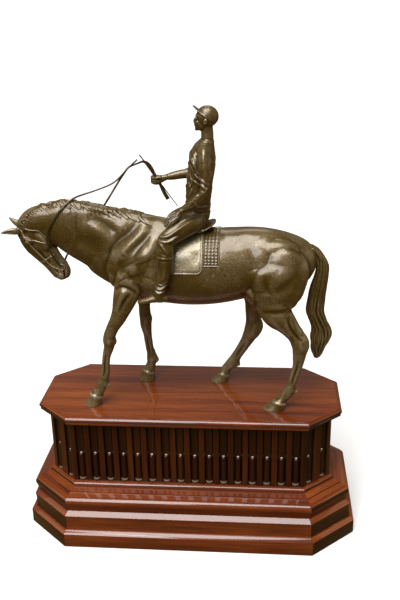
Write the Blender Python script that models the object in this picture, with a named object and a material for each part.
# Jockey and horse statue: a cast bronze thoroughbred at the walk with its rider,
# standing on a stepped mahogany plinth with a stop-fluted frieze.
# Metres, +Z up. The origin is the centre of the plinth's underside, the horse faces -X.
import math
import random

import bmesh
import bpy
import numpy as np
from mathutils import Vector
from mathutils.bvhtree import BVHTree

# Plinth, driving dimensions
TOP_LENGTH = 0.420           # flat of the top board, along the horse
TOP_DEPTH = 0.164            # flat of the top board, across the horse
CORNER_CUT_LENGTH = 0.044    # how much each cut corner takes off the long side
CORNER_CUT_DEPTH = 0.041     # and off the short side
LOWER_TIER_HEIGHT = 0.026
LOWER_TIER_REACH = 0.0294    # how far a tier stands outside the top board's flat
LOWER_ROUNDING = 0.003
MIDDLE_TIER_HEIGHT = 0.0275
MIDDLE_TIER_REACH = 0.0228
MIDDLE_FOOT = 0.007          # upright foot of the middle tier, below its hollow
MIDDLE_SETBACK = 0.007       # how far the top of the middle tier stands behind its foot
HOLLOW_DEPTH = 0.0035
HOLLOW_HEIGHT = 0.012
UPPER_TIER_HEIGHT = 0.034
UPPER_TIER_REACH = 0.0205
ROLL_DEPTH = 0.006           # half sizes of the roll along the upper tier
ROLL_HEIGHT = 0.007
SHELF_STEP = 0.0125          # from the upper tier's reach in to the shelf's small step
BEAD_RADIUS = 0.003          # bead at the foot of the frieze
FRIEZE_HEIGHT = 0.0905
FRIEZE_INSET = 0.008         # the frieze stands inside the top board's flat
COVE_HEIGHT = 0.0095
TOP_BOARD_HEIGHT = 0.0088
NOSING_REACH = 0.0055        # rounded edge of the top board
FLUTE_PITCH = 0.0204
FLUTE_WIDTH = 0.0125
FLUTE_DEPTH = 0.0048
CABLE_SHARE = 0.5            # the rods fill this share of each flute, from below
GAP = 0.0003                 # clearance between pieces that touch

# Bronze, driving dimensions
WITHERS_HEIGHT = 0.265       # from the board to the top of the shoulder
REIN_WIDTH = 0.0022
REIN_THICKNESS = 0.0010
WHIP_RADIUS = 0.0011
CLOTH_RELIEF = 0.0013        # how far the saddle cloths stand off the coat
CLOTH_ROOT = 0.0035          # and how deep they are set into it

# Facets
HORSE_VOXEL = 0.0017
RIDER_VOXEL = 0.0011
HORSE_TRIANGLES = 3850
RIDER_TRIANGLES = 1850

# The bronze is drawn in units of 1/265 of the withers' height, z from the board up.
UNIT = WITHERS_HEIGHT / 265.0

# Horse: x, y, z, half depth, half width of each ring, and how much wider its lower side is
TORSO = [(-112, 0, 186, 10, 10, 0.0), (-107, 0, 188, 29, 22, 0.0), (-92, 0, 192, 48, 32, 0.05),
         (-72, 0, 199, 60, 37, 0.2), (-47, 0, 203.5, 61.5, 40, 0.3), (-25, 0, 199, 57, 42, 0.2),
         (0, 0, 195, 55, 43.5, 0.12), (30, 0, 194.5, 53, 44.5, 0.1), (60, 0, 198, 51, 43.5, 0.1),
         (85, 0, 202, 48, 41, 0.1), (110, 0, 202, 46, 40, 0.15), (135, 0, 199, 42, 36, 0.15),
         (154, 0, 193, 36, 27, 0.1), (166, 0, 188, 23, 16, 0.0), (170, 0, 186, 10, 8, 0.0)]
NECK = [(-55, 0, 206, 61, 30), (-99, 0, 223, 53, 23), (-120.5, 0, 234, 46, 18.5),
        (-147, 0, 244.5, 41, 15.5), (-170, 0, 251.5, 34.5, 14), (-188, 0, 253.5, 28.5, 13),
        (-206, 0, 256, 22, 12.5), (-221, 0, 250, 16, 11.5), (-229, 0, 244, 9, 8)]
HEAD = [(-225, 0, 253, 11, 9), (-217, 0, 240, 18.5, 11.5), (-207.5, 0, 226, 20.5, 10.5),
        (-196, 0, 210.5, 17.5, 8.8), (-188.5, 0, 200, 15.3, 8), (-181.5, 0, 190.5, 14.6, 8.6),
        (-176.5, 0, 181.5, 13, 9), (-174, 0, 174, 7, 6)]
FORELOCK = [(-233, 0, 252, 3, 4), (-234.5, 0, 240, 4, 6), (-233.5, 0, 228, 4.5, 6), (-230, 0, 216, 4.5, 5),
            (-226, 0, 209.5, 3, 3)]
NEAR_FORE = [(-70, -24, 190, 26, 13), (-79, -30, 172, 20, 13), (-86, -34, 152, 15.5, 11.5),
             (-90, -37, 140, 12.5, 10), (-95, -39, 129, 10.5, 8.5), (-102, -40, 117, 8.8, 7.6),
             (-106.5, -41, 106, 8.6, 8), (-107.5, -41, 98.5, 9.2, 8.2), (-108.5, -41, 89, 7.6, 6.6),
             (-112.5, -42, 75.5, 6, 5), (-114.5, -42, 63, 5.8, 4.8), (-115.5, -42, 51, 6.3, 5),
             (-118.5, -42, 40, 7.3, 6), (-120.5, -42.5, 32, 8.3, 7), (-124, -43, 24, 7, 6.4),
             (-128.5, -43.5, 16.5, 8, 7.6)]
FAR_FORE = [(-66, 24, 190, 26, 13), (-68, 30, 168, 18, 12.5), (-69, 34, 147, 12.5, 11),
            (-69, 36, 123, 8.8, 8.5), (-69, 37, 110, 8.8, 7.8), (-68, 37.5, 99, 9.2, 8.2),
            (-68, 37.5, 88, 8.6, 6.8), (-66.5, 38, 75, 6.6, 5.2), (-65.5, 38, 63, 6.2, 4.8),
            (-64, 38, 51, 6.2, 5), (-62, 38, 43, 7, 5.8), (-61, 38, 34, 8.6, 7),
            (-62.5, 38, 26.5, 7, 6.4), (-66, 38, 16.5, 8.6, 7.6)]
NEAR_HIND = [(118, -18, 225, 36, 17), (122, -25, 200, 42, 19), (122, -30, 175, 38, 18),
             (121, -33, 155, 30, 15.5), (124, -36, 139, 22, 13), (134.5, -38, 127, 16, 10.5),
             (142.5, -39, 117.5, 13, 9), (149, -40, 109.5, 12, 8.2), (155, -41, 97, 12.5, 8),
             (154, -42, 82, 9.5, 6.7), (152, -42, 64.5, 7.1, 5.4), (148.5, -42, 52, 6.6, 5.2),
             (145.5, -42, 40, 6.5, 5.2), (143.5, -42.5, 33, 7, 6), (141, -43, 26, 8, 7),
             (134, -43.5, 16.5, 6.8, 6.4), (129.5, -44, 10, 8.6, 8)]
FAR_HIND = [(112, 18, 225, 36, 17), (110, 25, 200, 40, 18), (102, 30, 172, 32, 17),
            (95, 33, 150, 24, 14.5), (92, 35, 130, 16, 12), (89, 36, 114, 11, 9.5),
            (90, 37, 101, 11.5, 8.5), (90.5, 37, 88, 13.5, 8), (81.5, 37.5, 68.5, 9.5, 6.4),
            (72.5, 38, 52.5, 8, 5.4), (65.5, 38, 41, 7.6, 5.4), (59.5, 38, 30, 9, 7),
            (51, 38, 21, 7.4, 6.4), (47, 38, 13, 8.8, 8)]
TAIL = [(158, 0, 224, 7, 8), (170, 0, 221, 6.5, 7), (178, 0, 211, 7, 7), (182.5, 0, 200, 8.5, 7.5),
        (183, 0, 187, 10, 8), (179.5, 0, 168, 11.5, 8.5), (176.5, 0, 147, 12.7, 8.5),
        (175.5, 0, 129, 13, 8.5), (181, 0, 115, 13, 9), (185, 0, 104, 14, 9.5), (185, 0, 93, 15.5, 10),
        (183, 0, 83, 13.5, 9), (181, 0, 72, 10, 7.5), (180.5, 0, 64, 6.5, 5.5), (179.5, 0, 58, 3, 3)]
NEAR_EAR = [(-229, -6, 244, 5, 3.5), (-238, -10, 245, 5, 3.6), (-248, -13, 244.5, 3.2, 2.6),
            (-256, -15, 243.5, 1.2, 1.2)]
FAR_EAR = [(-230, 6, 248, 5, 3.5), (-237, 9, 251, 5, 3.6), (-245, 12, 255, 3.2, 2.6),
           (-250, 14, 258, 1.2, 1.2)]
# Hooves: y, toe, heel, and the front and back of the coronet as (x, z)
HOOF_HALF_WIDTH = 11.4
HOOF_TAPER = 2.6             # how much narrower a hoof is at the coronet
HOOF_ROOT = 4                # how far it runs on below the board before it is cut level
HOOVES = {"near_fore": (-44, -148, -124, (-139, 18.5), (-119.5, 13)),
          "far_fore": (38, -83, -57, (-76, 17.5), (-56.5, 12)),
          "near_hind": (-45, 104, 136, (119.5, 14), (139, 9)),
          "far_hind": (38, 25, 53, (38, 15.5), (56.5, 10))}
# Muscles, each on both sides: x, y, z, half sizes along x, y, z, and tilt about y in degrees
MUSCLES = [(-60, 26, 196, 22, 14, 38, 25), (-93, 18, 187, 15, 13, 18, 0), (-99, 9, 180, 11, 10, 15, 0),
           (-202, 7, 231, 16, 5, 16, 0), (-215, 9, 232, 5, 4, 4, 0), (92, 20, 228, 17, 13, 12, 0),
           (118, 17, 224, 34, 18, 19, 0), (128, 27, 190, 35, 16.5, 40, 0), (92, 30, 166, 14, 10, 18, -20),
           (-177, 7, 180, 6, 4, 6, 0)]

# Rider, in the same units; the far leg mirrors the near one
RIDER_TORSO = [(13, 0, 250, 18, 24, 0), (14, 0, 262, 19, 26, 0), (15, 0, 272, 18, 25, 0),
               (16, 0, 287, 16.5, 21.5, 0), (17, 0, 300, 17.5, 20.5, 0), (18.5, 0, 315, 17.5, 22.5, 0),
               (21, 0, 330, 17.8, 26.5, 0), (22.5, 0, 345, 17.5, 29, 0), (25, 0, 355, 15, 26, 0),
               (27.5, 0, 362, 11.5, 17, 0), (29, 0, 368, 8.6, 10, 0), (29, 0, 378, 8, 8, 0),
               (28.5, 0, 388, 7.5, 8, 0)]
NEAR_ARM = [(26, -18, 358, 7, 7), (26.5, -28, 353, 9.5, 9.5), (28, -34.5, 341, 9, 9),
            (28.8, -37, 328, 8, 8), (29.5, -38, 315, 7.3, 7.3),
            (27, -38.5, 304, 7.4, 7.2), (20, -38, 298, 6.8, 6.6), (10, -36.5, 290, 6.2, 6),
            (1, -35, 283, 5.8, 5.6), (-4, -34.5, 279, 4.4, 4.8), (-11, -34, 273, 4.4, 5.6),
            (-18, -33.5, 268, 3.6, 5), (-23, -33, 264, 2, 3)]
FAR_ARM = [(26, 18, 358, 7, 7), (26, 28, 353, 9.5, 9.5), (24.5, 34, 341, 9, 9),
           (20, 36.5, 329, 8, 8), (13, 36, 320.5, 7.4, 7.4),
           (2, 33, 316.5, 6.8, 6.6), (-10, 30.5, 315, 6.2, 6), (-22, 28.5, 313, 5.4, 5.2),
           (-28, 27.5, 312, 4, 4), (-34, 26.5, 310.5, 4.8, 4.8), (-41, 25, 308.5, 6.4, 5.6),
           (-46, 24, 306, 5, 4.6), (-48.5, 23.5, 304, 2.5, 2.5)]
LEG = [(17, 12, 262, 15, 13), (8, 24, 262, 14.5, 13), (-6, 37, 256, 13, 12), (-18, 45.5, 250, 11.5, 10.8),
       (-24, 49, 244, 11, 10), (-24.5, 51, 236, 11, 9.5), (-24.5, 52, 228, 10.4, 9.5),
       (-25, 52.5, 216, 9.8, 9.3), (-25.5, 52.5, 206, 8.7, 8.8), (-28.5, 52.5, 193, 8.5, 8.2),
       (-31.5, 52.5, 183, 8, 7.5), (-33.5, 52.5, 175, 8, 7.2), (-34, 52.5, 168, 7.5, 6.5)]
FOOT = [(-23, 52, 166, 3.5, 4.5), (-31, 52, 167, 7, 6.3), (-42, 52.5, 165.5, 5.5, 6), (-52, 53, 163, 4.2, 5.5),
        (-60, 53.5, 161.3, 2.8, 4), (-63.5, 53.5, 161, 1.5, 2)]
SEAT = [(-32, 0, 247, 5, 12), (-24, 0, 252, 8, 17), (-8, 0, 252, 7, 22), (15, 0, 250.5, 6, 23),
        (27, 0, 254.5, 4.6, 20), (35, 0, 259.5, 3.4, 15), (39, 0, 263, 2, 10)]
SKULL = (29.5, 397, 14.6, 12.2, 13.8)      # x, z and half sizes of the cranium
JAW = (21.5, 387.5, 9.5, 8.6, 8.8)         # x, z and half sizes of the face below it
NOSE = [(15.5, 0, 396, 1.6, 1.8), (13, 0, 391.5, 2, 2), (14, 0, 389, 1.5, 2.2)]
CAP_LIFT = 1.1                             # the cap stands off the cranium
CAP_EDGE = ((16, 405.5), (42, 389))        # line of the cap's lower edge, x and z
PEAK = [(19, 404.5, 10.5), (14.5, 408, 9), (10.8, 411, 4)]  # x, z and half width of the peak

# Cloths on each flank: front, back, top and bottom of the panel as x and z, corner radius
OUTSIDE = 120                # well clear of the flanks
CLOTH_TURN = 0.64            # how steeply the top of a cloth looks down on the horse
SADDLE_CLOTH = (-18, 23.5, 243, 199, 10)
NUMBER_CLOTH = (24.5, 45.5, 245, 208, 3)

# Reins and whip, points on their routes: x, y, z and, for a rein, its width as a share
NEAR_REIN = [(-177, -9, 196, 1), (-183, -13, 207, 1), (-188, -15, 222, 1), (-190, -16, 238, 1),
             (-186, -16, 251, 1), (-178, -15, 264, 1), (-168, -13, 277, 1), (-157, -7, 287, 1),
             (-146, 0, 292, 1), (-123, 3, 299, 0.8), (-98, 8, 309, 0.8), (-79, 13, 327, 0.8),
             (-66.5, 17, 338, 0.8)]
FAR_REIN = [(-176, 10, 193, 1), (-171, 15, 205, 1), (-160, 18, 214, 1), (-146, 21, 229, 1),
            (-131, 20, 251, 1), (-119, 13, 269, 1), (-110, 5, 282, 1), (-97, 10, 302, 1),
            (-87, 14, 317, 1), (-79, 18, 327, 1), (-69, 22, 331, 1), (-59.5, 25, 333.5, 1.3),
            (-52.5, 26, 328, 2.3), (-45.5, 27, 315.5, 1.8), (-40.5, 27.6, 306, 1.2),
            (-34, 28, 292, 2.0), (-28, 28.2, 281, 2.2)]
FREE_FROM = 10               # from this point the far rein hangs clear and passes through the fist
WHIP = [(-64, 20, 344), (-14.5, 23, 272.5)]


def clear_scene():
    """Take away what the file opened with."""
    for scene_object in list(bpy.data.objects):
        bpy.data.objects.remove(scene_object)


def material(name, colour, roughness, metallic):
    """A Principled material with one finish all over."""
    made = bpy.data.materials.new(name)
    made.use_nodes = True
    shader = made.node_tree.nodes["Principled BSDF"]
    shader.inputs["Base Color"].default_value = (*colour, 1.0)
    shader.inputs["Roughness"].default_value = roughness
    shader.inputs["Metallic"].default_value = metallic
    return made


def add_object(name, mesh, finish=None):
    """Link a mesh into the scene under its part's name."""
    made = bpy.data.objects.new(name, mesh)
    bpy.context.scene.collection.objects.link(made)
    if finish:
        mesh.materials.clear()
        mesh.materials.append(finish)
    return made


def place(x, y, z):
    """From the bronze's own units, z from the board up, to metres."""
    return Vector((x * UNIT, y * UNIT, board_top() + z * UNIT))


def board_top():
    """Height of the surface that the horse stands on."""
    return (LOWER_TIER_HEIGHT + MIDDLE_TIER_HEIGHT + UPPER_TIER_HEIGHT + FRIEZE_HEIGHT
            + COVE_HEIGHT + TOP_BOARD_HEIGHT + 5 * GAP)


def curve_through(rows, steps):
    """Catmull-Rom samples through rows of numbers, steps to each stretch."""
    rows = [np.array(row, float) for row in rows]
    padded = [2 * rows[0] - rows[1]] + rows + [2 * rows[-1] - rows[-2]]
    samples = []
    for before, start, end, after in zip(padded, padded[1:], padded[2:], padded[3:]):
        for step in range(steps):
            t = step / steps
            samples.append(0.5 * (2 * start + (end - before) * t
                                  + (2 * before - 5 * start + 4 * end - after) * t ** 2
                                  + (3 * start - before - 3 * end + after) * t ** 3))
    samples.append(rows[-1])
    return samples


def ring_frame(tangent):
    """Depth and width axes of a ring across a path: width lies along Y as far as it can."""
    width_axis = Vector((0, 1, 0))
    width_axis = (width_axis - tangent * width_axis.dot(tangent)).normalized()
    return tangent.cross(width_axis), width_axis


def skin_rings(shape, rings):
    """Join rings of points into one closed skin with a pole at each end."""
    loops = [[shape.verts.new(point) for point in ring] for ring in rings]
    count = len(loops[0])
    for lower, upper in zip(loops, loops[1:]):
        for i in range(count):
            j = (i + 1) % count
            shape.faces.new((lower[i], lower[j], upper[j], upper[i]))
    for loop, step in ((loops[0], -1), (loops[-1], 1)):
        middle = sum((v.co for v in loop), Vector()) / count
        pole = shape.verts.new(middle)
        for i in range(count):
            j = (i + step) % count
            shape.faces.new((loop[i], loop[j], pole))


def loft(shape, stations, sides=20, steps=4, mirror=1):
    """A body swept through stations of centre, half depth, half width and lower bulge."""
    rows = [tuple(row) + (0.0,) * (6 - len(row)) for row in stations]
    samples = curve_through(rows, steps)
    centres = [place(s[0], s[1] * mirror, s[2]) for s in samples]
    rings = []
    for i, (centre, sample) in enumerate(zip(centres, samples)):
        tangent = (centres[min(i + 1, len(centres) - 1)] - centres[max(i - 1, 0)]).normalized()
        depth_axis, width_axis = ring_frame(tangent)
        depth = max(sample[3], 0.5) * UNIT
        width = max(sample[4], 0.5) * UNIT
        ring = []
        for k in range(sides):
            angle = 2 * math.pi * k / sides
            bulge = 1 - sample[5] * math.cos(angle)
            ring.append(centre + depth_axis * depth * math.cos(angle)
                        + width_axis * width * bulge * math.sin(angle))
        rings.append(ring)
    skin_rings(shape, rings)


def ellipsoid(shape, centre, radii, tilt=0.0, segments=20):
    """A muscle or a rounded lump, tilted about Y."""
    turn = math.radians(tilt)
    rings = []
    for i in range(1, segments // 2):
        polar = math.pi * i / (segments // 2)
        ring = []
        for k in range(segments):
            angle = 2 * math.pi * k / segments
            x = radii[0] * math.sin(polar) * math.cos(angle)
            y = radii[1] * math.sin(polar) * math.sin(angle)
            z = radii[2] * -math.cos(polar)
            ring.append(place(centre[0] + x * math.cos(turn) + z * math.sin(turn), centre[1] + y,
                              centre[2] - x * math.sin(turn) + z * math.cos(turn)))
        rings.append(ring)
    skin_rings(shape, rings)


def hoof(shape, y, toe, heel, coronet_front, coronet_back):
    """A hoof from below the board's surface up to its sloping coronet."""
    rings = []
    for share in (0.0, 0.0, 0.35, 0.7, 1.0):
        root = HOOF_ROOT if not rings else 0
        front = toe + (coronet_front[0] - toe) * share
        back = heel + (coronet_back[0] - heel) * share
        half_width = HOOF_HALF_WIDTH - HOOF_TAPER * share
        ring = []
        for k in range(20):
            angle = 2 * math.pi * k / 20
            along = math.cos(angle)
            x = (front + back) / 2 + (back - front) / 2 * along
            z_front = coronet_front[1] * share
            z_back = coronet_back[1] * share
            z = (z_front + z_back) / 2 + (z_back - z_front) / 2 * along - root
            ring.append(place(x, y + half_width * math.sin(angle), z))
        rings.append(ring)
    skin_rings(shape, rings)


def remeshed(shape, voxel, rounds, triangles):
    """Fuse the overlapping bodies, round their joins and bring the facets down to a budget."""
    bmesh.ops.recalc_face_normals(shape, faces=shape.faces)
    mesh = bpy.data.meshes.new("raw")
    shape.to_mesh(mesh)
    shape.free()
    raw = add_object("raw", mesh)
    fuse = raw.modifiers.new("fuse", "REMESH")
    fuse.mode = "VOXEL"
    fuse.voxel_size = voxel
    fuse.adaptivity = 0.0
    soften = raw.modifiers.new("soften", "SMOOTH")
    soften.factor = 0.5
    soften.iterations = rounds
    whole = evaluated(raw)
    thin = add_object("thin", whole)
    reduce = thin.modifiers.new("reduce", "DECIMATE")
    reduce.ratio = triangles / (2.0 * len(whole.polygons))
    result = evaluated(thin)
    bpy.data.objects.remove(raw)
    bpy.data.objects.remove(thin)
    return result


def evaluated(scene_object):
    """The mesh of an object with its modifiers taken in."""
    depsgraph = bpy.context.evaluated_depsgraph_get()
    return bpy.data.meshes.new_from_object(scene_object.evaluated_get(depsgraph))


def boolean(base, other, operation):
    """Join to or cut from one mesh the body of another."""
    first = add_object("first", base)
    second = add_object("second", other)
    step = first.modifiers.new("step", "BOOLEAN")
    step.operation = operation
    step.solver = "EXACT"
    step.object = second
    result = evaluated(first)
    bpy.data.objects.remove(first)
    bpy.data.objects.remove(second)
    return result


def horse_mesh():
    """The horse: body, neck, head, legs, hooves, mane and tail in one casting."""
    shape = bmesh.new()
    loft(shape, TORSO, sides=28)
    loft(shape, NECK, sides=24)
    loft(shape, HEAD)
    for stations in (FORELOCK, NEAR_FORE, FAR_FORE, NEAR_HIND, FAR_HIND, TAIL, NEAR_EAR, FAR_EAR):
        loft(shape, stations)
    for y, toe, heel, coronet_front, coronet_back in HOOVES.values():
        hoof(shape, y, toe, heel, coronet_front, coronet_back)
    for x, y, z, along, across, up, tilt in MUSCLES:
        for side in (-1, 1):
            ellipsoid(shape, (x, y * side, z), (along, across, up), tilt)
    mane(shape)
    return remeshed(shape, HORSE_VOXEL * UNIT / 0.001, 5, HORSE_TRIANGLES)


def mane(shape):
    """Short locks in a row down the crest, each leaning to the near side."""
    draw = random.Random(5)
    crest = curve_through([(-232, 254), (-212, 273), (-184, 284), (-150, 285), (-112, 277), (-78, 272)], 4)
    for x, z in crest:
        lean = draw.uniform(-2.5, 0.5)
        ellipsoid(shape, (x, lean, z - 1.5), (5.2, 3.6, draw.uniform(4.0, 5.4)), 30, segments=12)


def rider_mesh():
    """The rider and the saddle under them, in one body."""
    shape = bmesh.new()
    loft(shape, RIDER_TORSO, sides=24)
    loft(shape, NEAR_ARM)
    loft(shape, FAR_ARM)
    loft(shape, SEAT)
    for side in (-1, 1):
        loft(shape, LEG, mirror=side)
        loft(shape, FOOT, mirror=side)
        ellipsoid(shape, (27.5, 11.4 * side, 391.5), (2.6, 1.8, 4.2), 12, segments=12)
    ellipsoid(shape, (SKULL[0], 0, SKULL[1]), SKULL[2:])
    ellipsoid(shape, (JAW[0], 0, JAW[1]), JAW[2:], 20)
    loft(shape, NOSE, sides=10)
    cap(shape)
    return remeshed(shape, RIDER_VOXEL * UNIT / 0.001, 4, RIDER_TRIANGLES)


def cap(shape):
    """The cap's dome down to its sloping edge, and its peak."""
    (x0, z0), (x1, z1) = CAP_EDGE
    slope = (z1 - z0) / (x1 - x0)
    first = len(shape.verts)
    ellipsoid(shape, (SKULL[0], 0, SKULL[1]), [half + CAP_LIFT for half in SKULL[2:]], segments=28)
    shape.verts.ensure_lookup_table()
    for vertex in list(shape.verts)[first:]:
        floor = place(0, 0, z0).z + (vertex.co.x - x0 * UNIT) * slope
        vertex.co.z = max(vertex.co.z, floor)
    rings = []
    for x, z, half_width in curve_through(PEAK, 3):
        ring = []
        for k in range(16):
            angle = 2 * math.pi * k / 16
            across = half_width * math.sin(angle)
            droop = 0.02 * across ** 2
            ring.append(place(x + droop + 0.5 * math.cos(angle), across, z - droop + 0.9 * math.cos(angle)))
        rings.append(ring)
    skin_rings(shape, rings)


def flank_panel(body, panel, side):
    """A cloth on the flank: a thin slab that follows the coat under it, with a rounded lower corner."""
    front, back, top, bottom, radius = (value * UNIT for value in panel)
    columns = 6
    rows = 6
    outer = []
    inner = []
    for i in range(columns):
        x = front + (back - front) * (1 - (1 - i / (columns - 1)) ** 1.7)
        past = max(radius - (back - x), 0.0)
        low = bottom + radius - math.sqrt(max(radius ** 2 - past ** 2, 0.0))
        for j in range(rows):
            share = j / (rows - 1)
            inside = Vector((x, 0, board_top() + low + (top - low) * share))
            outward = Vector((0, side, CLOTH_TURN * share ** 2))
            point, normal = body.ray_cast(inside + outward * OUTSIDE * UNIT, -outward.normalized())[:2]
            outer.append(point + normal * CLOTH_RELIEF)
            inner.append(point - normal * CLOTH_ROOT)
    shape = bmesh.new()
    fronts = [shape.verts.new(p) for p in outer]
    backs = [shape.verts.new(p) for p in inner]
    for i in range(columns - 1):
        for j in range(rows - 1):
            a, b, c, d = i * rows + j, (i + 1) * rows + j, (i + 1) * rows + j + 1, i * rows + j + 1
            shape.faces.new([fronts[n] for n in (a, b, c, d)])
            shape.faces.new([backs[n] for n in (d, c, b, a)])
    for edge in [e for e in shape.edges if e.is_boundary and e.verts[0] in fronts]:
        start, end = (fronts.index(v) for v in edge.verts)
        shape.faces.new((fronts[start], fronts[end], backs[end], backs[start]))
    bmesh.ops.recalc_face_normals(shape, faces=shape.faces)
    bmesh.ops.triangulate(shape, faces=shape.faces)
    mesh = bpy.data.meshes.new("panel")
    shape.to_mesh(mesh)
    shape.free()
    return mesh


def flat_soles(mesh):
    """Cut the hooves level, a gap above the board."""
    shape = bmesh.new()
    shape.from_mesh(mesh)
    level = board_top() + GAP
    cut = bmesh.ops.bisect_plane(shape, geom=shape.verts[:] + shape.edges[:] + shape.faces[:],
                                 plane_co=(0, 0, level), plane_no=(0, 0, -1), clear_outer=True)
    edges = [e for e in cut["geom_cut"] if isinstance(e, bmesh.types.BMEdge)]
    bmesh.ops.holes_fill(shape, edges=edges)
    bmesh.ops.triangulate(shape, faces=shape.faces)
    shape.to_mesh(mesh)
    shape.free()
    return mesh


def surface_of(mesh):
    """A lookup for the nearest point of a mesh."""
    shape = bmesh.new()
    shape.from_mesh(mesh)
    tree = BVHTree.FromBMesh(shape)
    shape.free()
    return tree


def strap_route(points, body, steps):
    """Samples of a strap's route, lifted clear of the casting where it lies on it."""
    lift = REIN_THICKNESS / 2 + 2.5 * GAP
    route = []
    for sample in curve_through(points, steps):
        point = place(*sample[:3])
        surface, normal = body.find_nearest(point)[:2]
        height = (point - surface).dot(normal)
        if height < lift:
            point = surface + normal * lift
        near = max(0.0, min(1.0, 1.5 - height / (4 * lift)))
        route.append((point, normal, near, sample[3]))
    return route


def strap(route, width, thickness):
    """A flat strap of four-sided section along a route, lying flat where it touches."""
    rings = []
    before = Vector()
    for i, (point, normal, near, share) in enumerate(route):
        ahead = route[min(i + 1, len(route) - 1)][0] - route[max(i - 1, 0)][0]
        tangent = ahead.normalized()
        facing = normal * near + Vector((0, normal.y, 0)).normalized() * (1 - near)
        facing = (facing - tangent * facing.dot(tangent)).normalized()
        facing = (facing * (-1 if facing.dot(before) < 0 else 1) + before).normalized()
        facing = (facing - tangent * facing.dot(tangent)).normalized()
        before = facing
        side = tangent.cross(facing)
        rings.append([point + side * width * share * a / 2 + facing * thickness * b / 2
                      for a, b in ((-1, -1), (1, -1), (1, 1), (-1, 1))])
    shape = bmesh.new()
    loops = [[shape.verts.new(p) for p in ring] for ring in rings]
    for lower, upper in zip(loops, loops[1:]):
        for k in range(4):
            shape.faces.new((lower[k], lower[(k + 1) % 4], upper[(k + 1) % 4], upper[k]))
    shape.faces.new(loops[0][::-1])
    shape.faces.new(loops[-1])
    bmesh.ops.recalc_face_normals(shape, faces=shape.faces)
    bmesh.ops.triangulate(shape, faces=shape.faces)
    mesh = bpy.data.meshes.new("strap")
    shape.to_mesh(mesh)
    shape.free()
    return mesh


def rod(start, end, radius, sides=8):
    """A straight round rod that tapers a little to its far end."""
    shape = bmesh.new()
    length = (end - start).length
    bmesh.ops.create_cone(shape, cap_ends=True, segments=sides, radius1=radius, radius2=radius * 0.75,
                          depth=length)
    turn = Vector((0, 0, 1)).rotation_difference(end - start)
    for vertex in shape.verts:
        vertex.co = turn @ vertex.co + (start + end) / 2
    mesh = bpy.data.meshes.new("rod")
    shape.to_mesh(mesh)
    shape.free()
    return mesh


def octagon(reach):
    """The plinth's plan, its corners cut, standing a reach outside the top board's flat."""
    half_length = TOP_LENGTH / 2
    half_depth = TOP_DEPTH / 2
    slant = Vector((CORNER_CUT_LENGTH, -CORNER_CUT_DEPTH)).normalized()
    corner_x = half_length - CORNER_CUT_LENGTH + offset_shift(reach, slant.x, slant.y)
    corner_y = half_depth - CORNER_CUT_DEPTH + offset_shift(reach, -slant.y, -slant.x)
    x = half_length + reach
    y = half_depth + reach
    return [Vector(p) for p in ((corner_x, -y), (x, -corner_y), (x, corner_y), (corner_x, y),
                                (-corner_x, y), (-x, corner_y), (-x, -corner_y), (-corner_x, -y))]


def offset_shift(reach, along, away):
    """How far a corner slides along its long side when both sides move out by reach."""
    return reach * (1 - abs(along)) / abs(away)


def stack(name, finish, profile):
    """A solid of octagons, from (reach, z) pairs that climb."""
    shape = bmesh.new()
    loops = [[shape.verts.new((p.x, p.y, z)) for p in octagon(reach)] for reach, z in profile]
    for lower, upper in zip(loops, loops[1:]):
        for i in range(8):
            j = (i + 1) % 8
            shape.faces.new((lower[i], lower[j], upper[j], upper[i]))
    shape.faces.new(loops[0][::-1])
    shape.faces.new(loops[-1])
    mesh = bpy.data.meshes.new(name)
    shape.to_mesh(mesh)
    shape.free()
    return add_object(name, mesh, finish)


def arc(centre, radii, start, end, steps):
    """Points of an elliptic arc as (reach, z), angles in degrees from outward, up positive."""
    points = []
    for i in range(steps + 1):
        angle = math.radians(start + (end - start) * i / steps)
        points.append((centre[0] + radii[0] * math.cos(angle), centre[1] + radii[1] * math.sin(angle)))
    return points


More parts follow.
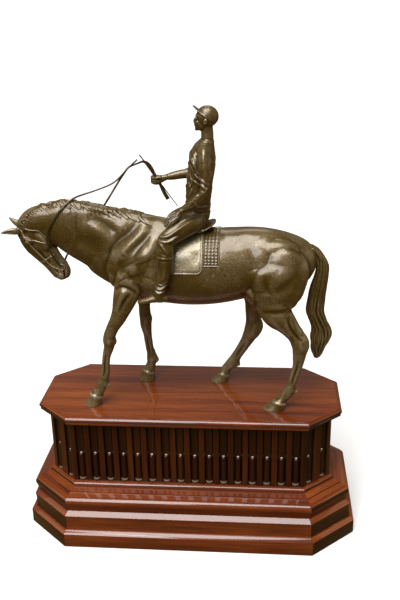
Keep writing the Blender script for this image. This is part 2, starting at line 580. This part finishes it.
def plinth(wood):
    """The five joined courses and the top board, from the ground up."""
    z = 0.0
    edge = LOWER_ROUNDING
    stack("plinth_base_lower", wood,
          [(LOWER_TIER_REACH, z)]
          + arc((LOWER_TIER_REACH - edge, z + LOWER_TIER_HEIGHT - edge), (edge, edge), 0, 90, 3))
    z += LOWER_TIER_HEIGHT + GAP
    hollow = (MIDDLE_TIER_REACH, z + MIDDLE_FOOT + HOLLOW_HEIGHT)
    stack("plinth_base_middle", wood,
          [(MIDDLE_TIER_REACH, z), (MIDDLE_TIER_REACH, z + MIDDLE_FOOT)]
          + arc(hollow, (HOLLOW_DEPTH, HOLLOW_HEIGHT), 270, 180, 3)
          + [(MIDDLE_TIER_REACH - MIDDLE_SETBACK, z + MIDDLE_TIER_HEIGHT)])
    z += MIDDLE_TIER_HEIGHT + GAP
    shelf = z + UPPER_TIER_HEIGHT - 2 * BEAD_RADIUS
    step = UPPER_TIER_REACH - SHELF_STEP
    slope = HOLLOW_DEPTH
    stack("plinth_base_upper", wood,
          [(UPPER_TIER_REACH - slope, z)]
          + arc((UPPER_TIER_REACH - ROLL_DEPTH, z + 2 * ROLL_HEIGHT), (ROLL_DEPTH, ROLL_HEIGHT), -40, 60, 4)
          + [(step, shelf - slope), (step, shelf - slope / 2), (-FRIEZE_INSET + 2 * BEAD_RADIUS, shelf)]
          + arc((-FRIEZE_INSET + BEAD_RADIUS, shelf + BEAD_RADIUS), (BEAD_RADIUS, BEAD_RADIUS), -60, 90, 4))
    z += UPPER_TIER_HEIGHT + GAP
    frieze(wood, z)
    z += FRIEZE_HEIGHT + GAP
    lip = NOSING_REACH - GAP * 5
    stack("plinth_cove", wood,
          arc((lip, z), (lip + FRIEZE_INSET, COVE_HEIGHT - GAP * 5), 180, 90, 4)
          + [(lip, z + COVE_HEIGHT)])
    z += COVE_HEIGHT + GAP
    stack("plinth_top_board", wood,
          [(lip, z)]
          + arc((0, z + TOP_BOARD_HEIGHT / 2), (NOSING_REACH, TOP_BOARD_HEIGHT / 2), -50, 90, 6))


def frieze(wood, z):
    """The fluted course: flat fillets between hollows, each hollow half filled by a round-topped rod."""
    corners = octagon(-FRIEZE_INSET)
    radius = FLUTE_WIDTH * 0.36
    mid = FRIEZE_HEIGHT * CABLE_SHARE
    levels = [(0.0, 1.0), (mid - radius, 1.0), (mid, 0.0), (FRIEZE_HEIGHT, 0.0)]
    # across the flute from -1 to 1: how deep the hollow is, and how deep the rod's face is
    section = [(-1.0, 0.0, 0.0), (-0.72, 0.8, 0.95), (-0.36, 1.0, 0.32), (0.36, 1.0, 0.32), (0.72, 0.8, 0.95),
               (1.0, 0.0, 0.0)]
    shape = bmesh.new()
    loops = []
    for height, rod_share in levels:
        loop = []
        for start, end in zip(corners, corners[1:] + corners[:1]):
            run = end - start
            inward = Vector((-run.y, run.x)).normalized()
            bays = max(1, int(run.length / FLUTE_PITCH + 0.25))
            pitch = run.length / bays
            along = run.normalized()
            loop.append(shape.verts.new((start.x, start.y, z + height)))
            for bay in range(bays):
                centre = start + along * pitch * (bay + 0.5)
                for across, hollow, face in section:
                    depth = FLUTE_DEPTH * (hollow + (face - hollow) * rod_share)
                    point = centre + along * across * FLUTE_WIDTH / 2 + inward * depth
                    loop.append(shape.verts.new((point.x, point.y, z + height)))
        loops.append(loop)
    count = len(loops[0])
    for lower, upper in zip(loops, loops[1:]):
        for i in range(count):
            j = (i + 1) % count
            shape.faces.new((lower[i], lower[j], upper[j], upper[i]))
    shape.faces.new(loops[0][::-1])
    shape.faces.new(loops[-1])
    bmesh.ops.triangulate(shape, faces=shape.faces, ngon_method="EAR_CLIP")
    mesh = bpy.data.meshes.new("plinth_frieze")
    shape.to_mesh(mesh)
    shape.free()
    add_object("plinth_frieze", mesh, wood)


def grown(route, width, thickness):
    """The cutter for a strap: the strap with its clearance."""
    return strap(route, width + 2 * GAP, thickness + 2 * GAP)


def bronze_group(bronze, dark):
    """The horse, the rider, the cloths, and the reins and whip that are fitted after casting."""
    horse = flat_soles(horse_mesh())
    coat = surface_of(horse)
    for panel in (SADDLE_CLOTH, NUMBER_CLOTH):
        for side in (-1, 1):
            horse = boolean(horse, flank_panel(coat, panel, side), "UNION")
    casting = boolean(horse, rider_mesh(), "UNION")
    whip_start, whip_end = (place(*point) for point in WHIP)
    casting = boolean(casting, rod(whip_start, whip_end, WHIP_RADIUS + 1.5 * GAP), "DIFFERENCE")
    body = surface_of(casting)
    near_route = strap_route(NEAR_REIN, body, 3)
    free_run = [(place(*sample[:3]), Vector((0, 1, 0)), 0.0, sample[3])
                for sample in curve_through(FAR_REIN[FREE_FROM:], 3)]
    far_route = strap_route(FAR_REIN[:FREE_FROM + 1], body, 3) + free_run[1:]
    casting = boolean(casting, grown(free_run, REIN_WIDTH, REIN_THICKNESS), "DIFFERENCE")
    casting.shade_smooth()
    add_object("horse_and_jockey", casting, bronze)
    add_object("rein_near", strap(near_route, REIN_WIDTH, REIN_THICKNESS), dark)
    add_object("rein_far", strap(far_route, REIN_WIDTH, REIN_THICKNESS), dark)
    add_object("whip", rod(whip_start, whip_end, WHIP_RADIUS), dark)


def build():
    """Make the whole statue."""
    clear_scene()
    bronze = material("bronze", (0.22, 0.16, 0.075), 0.38, 1.0)
    dark = material("dark_bronze", (0.10, 0.075, 0.04), 0.4, 1.0)
    wood = material("mahogany", (0.24, 0.055, 0.02), 0.15, 0.0)
    plinth(wood)
    bronze_group(bronze, dark)


build()
